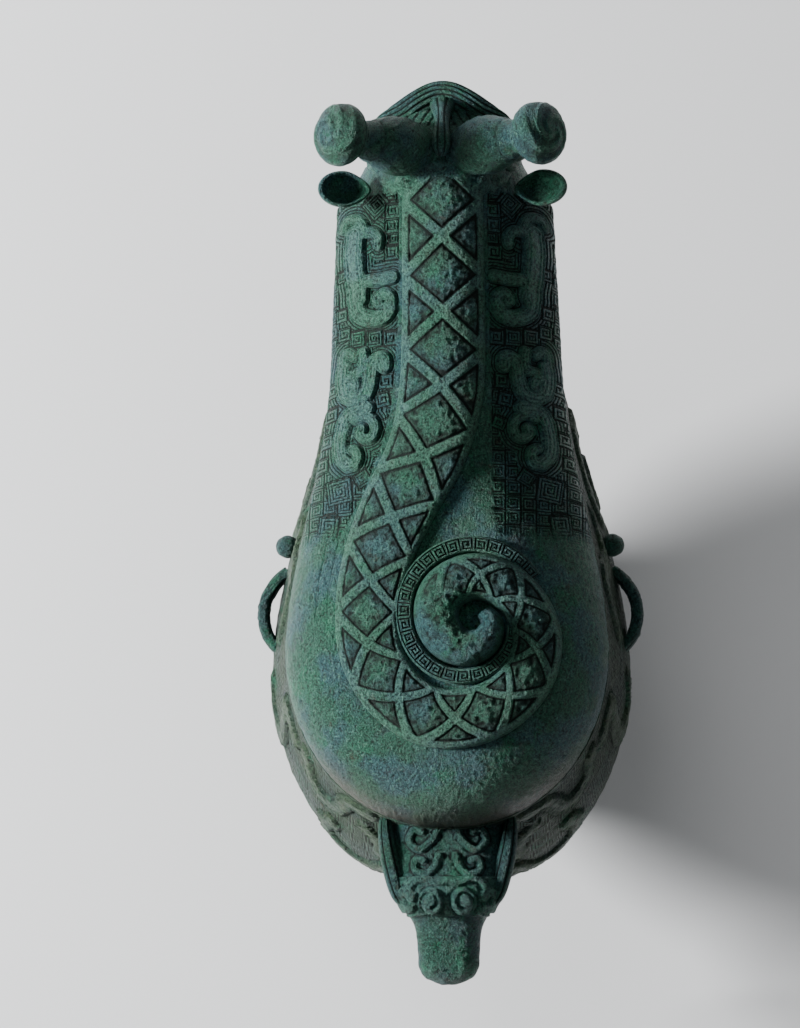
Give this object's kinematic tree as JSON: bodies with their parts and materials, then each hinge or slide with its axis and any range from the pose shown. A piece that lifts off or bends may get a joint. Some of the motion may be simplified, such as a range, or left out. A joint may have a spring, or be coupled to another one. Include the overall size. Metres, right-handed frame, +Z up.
{
  "type": "bronze guang wine vessel",
  "caption": "Lidded bronze wine pourer on an oval ring foot, with a spout, a beast-headed loop handle and a lift-off lid shaped as a coiled dragon with bottle-shaped horns.",
  "frame": {"origin": "on the ground under the middle of the overall length and width", "axes": "+X towards the spout and the lid's dragon head, +Y to the vessel's left, +Z up"},
  "size_m": [0.21, 0.0928, 0.1532],
  "materials": {
    "bronze_patina": "cast bronze under matt green and blue-green corrosion with brown earth in the recesses",
    "bronze_belly": "cast bronze under pale yellow-green corrosion",
    "bronze_spacer": "cast bronze, slightly browner than the wall around it",
    "fired_clay": "matt fired clay"
  },
  "bodies": {
    "vessel": {"vessel_body": "bronze_belly", "casting_spacers": "bronze_spacer", "ring_foot": "bronze_belly", "handle_grip": "bronze_patina", "handle_clay_core": "fired_clay", "handle_beast_head": "bronze_patina", "handle_spur": "bronze_patina", "beast_horn_left": "bronze_patina", "beast_horn_right": "bronze_patina", "beast_eyes": "bronze_patina", "side_lug_left": "bronze_patina", "side_lug_right": "bronze_patina", "side_bosses": "bronze_patina"},
    "lid": {"lid_shell": "bronze_patina", "lid_tongue": "bronze_patina", "dragon_back": "bronze_patina", "dragon_coil": "bronze_patina", "dragon_head": "bronze_patina", "dragon_snout": "bronze_patina", "dragon_nose_ridge": "bronze_patina", "horn_left": "bronze_patina", "horn_right": "bronze_patina", "horn_clay_cores": "fired_clay", "ear_left": "bronze_patina", "ear_right": "bronze_patina", "eye_left": "bronze_patina", "eye_right": "bronze_patina", "upper_teeth": "bronze_patina"}
  },
  "joints": [
    {"name": "lid_lift", "type": "slide", "parent": "vessel", "child": "lid", "axis": [0, 0, 1], "range_m": [0, 0.07]}
  ]
}
